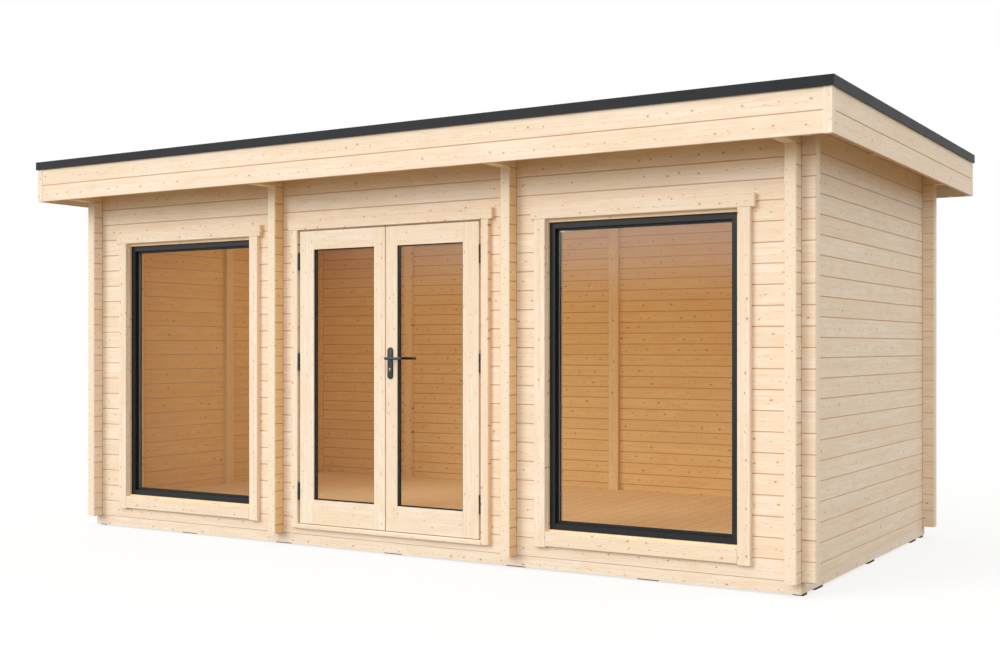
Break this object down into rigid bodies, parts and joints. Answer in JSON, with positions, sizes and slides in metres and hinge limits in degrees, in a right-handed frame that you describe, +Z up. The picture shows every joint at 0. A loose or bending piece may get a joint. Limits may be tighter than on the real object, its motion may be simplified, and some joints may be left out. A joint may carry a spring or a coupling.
{
  "type": "garden office pod",
  "caption": "Flat-roofed cabin of interlocked planed logs, with tall fixed windows, glazed double doors and a boarded roof edge.",
  "frame": {"origin": "on the ground under the middle of the roof", "axes": "+Z up, the front with the doors faces -Y, +X to the right seen from the front"},
  "size_m": [6.01, 3.271, 2.704],
  "materials": {
    "pad": "dull black rubber",
    "treated_timber": "planed",
    "floor_timber": "planed and tongued",
    "log_timber": "planed, unpainted",
    "trim_timber": "planed, unpainted",
    "roof_timber": "planed and tongued",
    "membrane": "matt sheet",
    "dark_metal": "matt powder coat",
    "glass": "clear double pane",
    "gasket": "dull",
    "hinge_metal": "satin black"
  },
  "bodies": {
    "pod": {"ground_pads": "pad", "sill_beams": "treated_timber", "floor_joists": "treated_timber", "floor_boards": "floor_timber", "front_bottom_log": "log_timber", "front_wall_left": "log_timber", "front_wall_right": "log_timber", "front_wall_over_door": "log_timber", "back_wall": "log_timber", "left_wall": "log_timber", "right_wall": "log_timber", "front_column_left": "log_timber", "front_column_right": "log_timber", "long_top_logs": "log_timber", "cross_top_logs": "log_timber", "middle_purlin": "log_timber", "wall_battens": "trim_timber", "roof_boards": "roof_timber", "roof_kerb": "trim_timber", "roof_membrane": "membrane", "fascia_boards": "trim_timber", "fascia_posts": "trim_timber", "fascia_hangers": "trim_timber", "roof_edge_trim": "dark_metal", "window_linings": "trim_timber", "left_window_frame": "dark_metal", "right_window_frame": "dark_metal", "window_glass": "glass", "window_casings": "trim_timber", "door_casings": "trim_timber", "door_frame": "trim_timber", "door_threshold": "trim_timber", "frame_hinges": "hinge_metal"},
    "left_door": {"left_leaf": "trim_timber", "left_leaf_glass": "glass", "left_leaf_gaskets": "gasket", "left_leaf_hinges": "hinge_metal"},
    "right_door": {"right_leaf": "trim_timber", "right_leaf_glass": "glass", "right_leaf_gaskets": "gasket", "right_leaf_hinges": "hinge_metal", "handle_plates": "hinge_metal"},
    "lever": {"handle_levers": "hinge_metal"}
  },
  "joints": [
    {"name": "left_door_swing", "type": "hinge", "parent": "pod", "child": "left_door", "pos_m": [-0.7295, -1.3335, 1.237], "axis": [0, 0, -1], "range_deg": [0, 110]},
    {"name": "right_door_swing", "type": "hinge", "parent": "pod", "child": "right_door", "pos_m": [0.7095, -1.3335, 1.237], "axis": [0, 0, 1], "range_deg": [0, 110]},
    {"name": "lever_turn", "type": "hinge", "parent": "right_door", "child": "lever", "pos_m": [0.031, -1.3095, 1.262], "axis": [0, 1, 0], "range_deg": [0, 45], "stiffness_Nm_per_rad": 1.5, "springref_deg": -34.38}
  ]
}
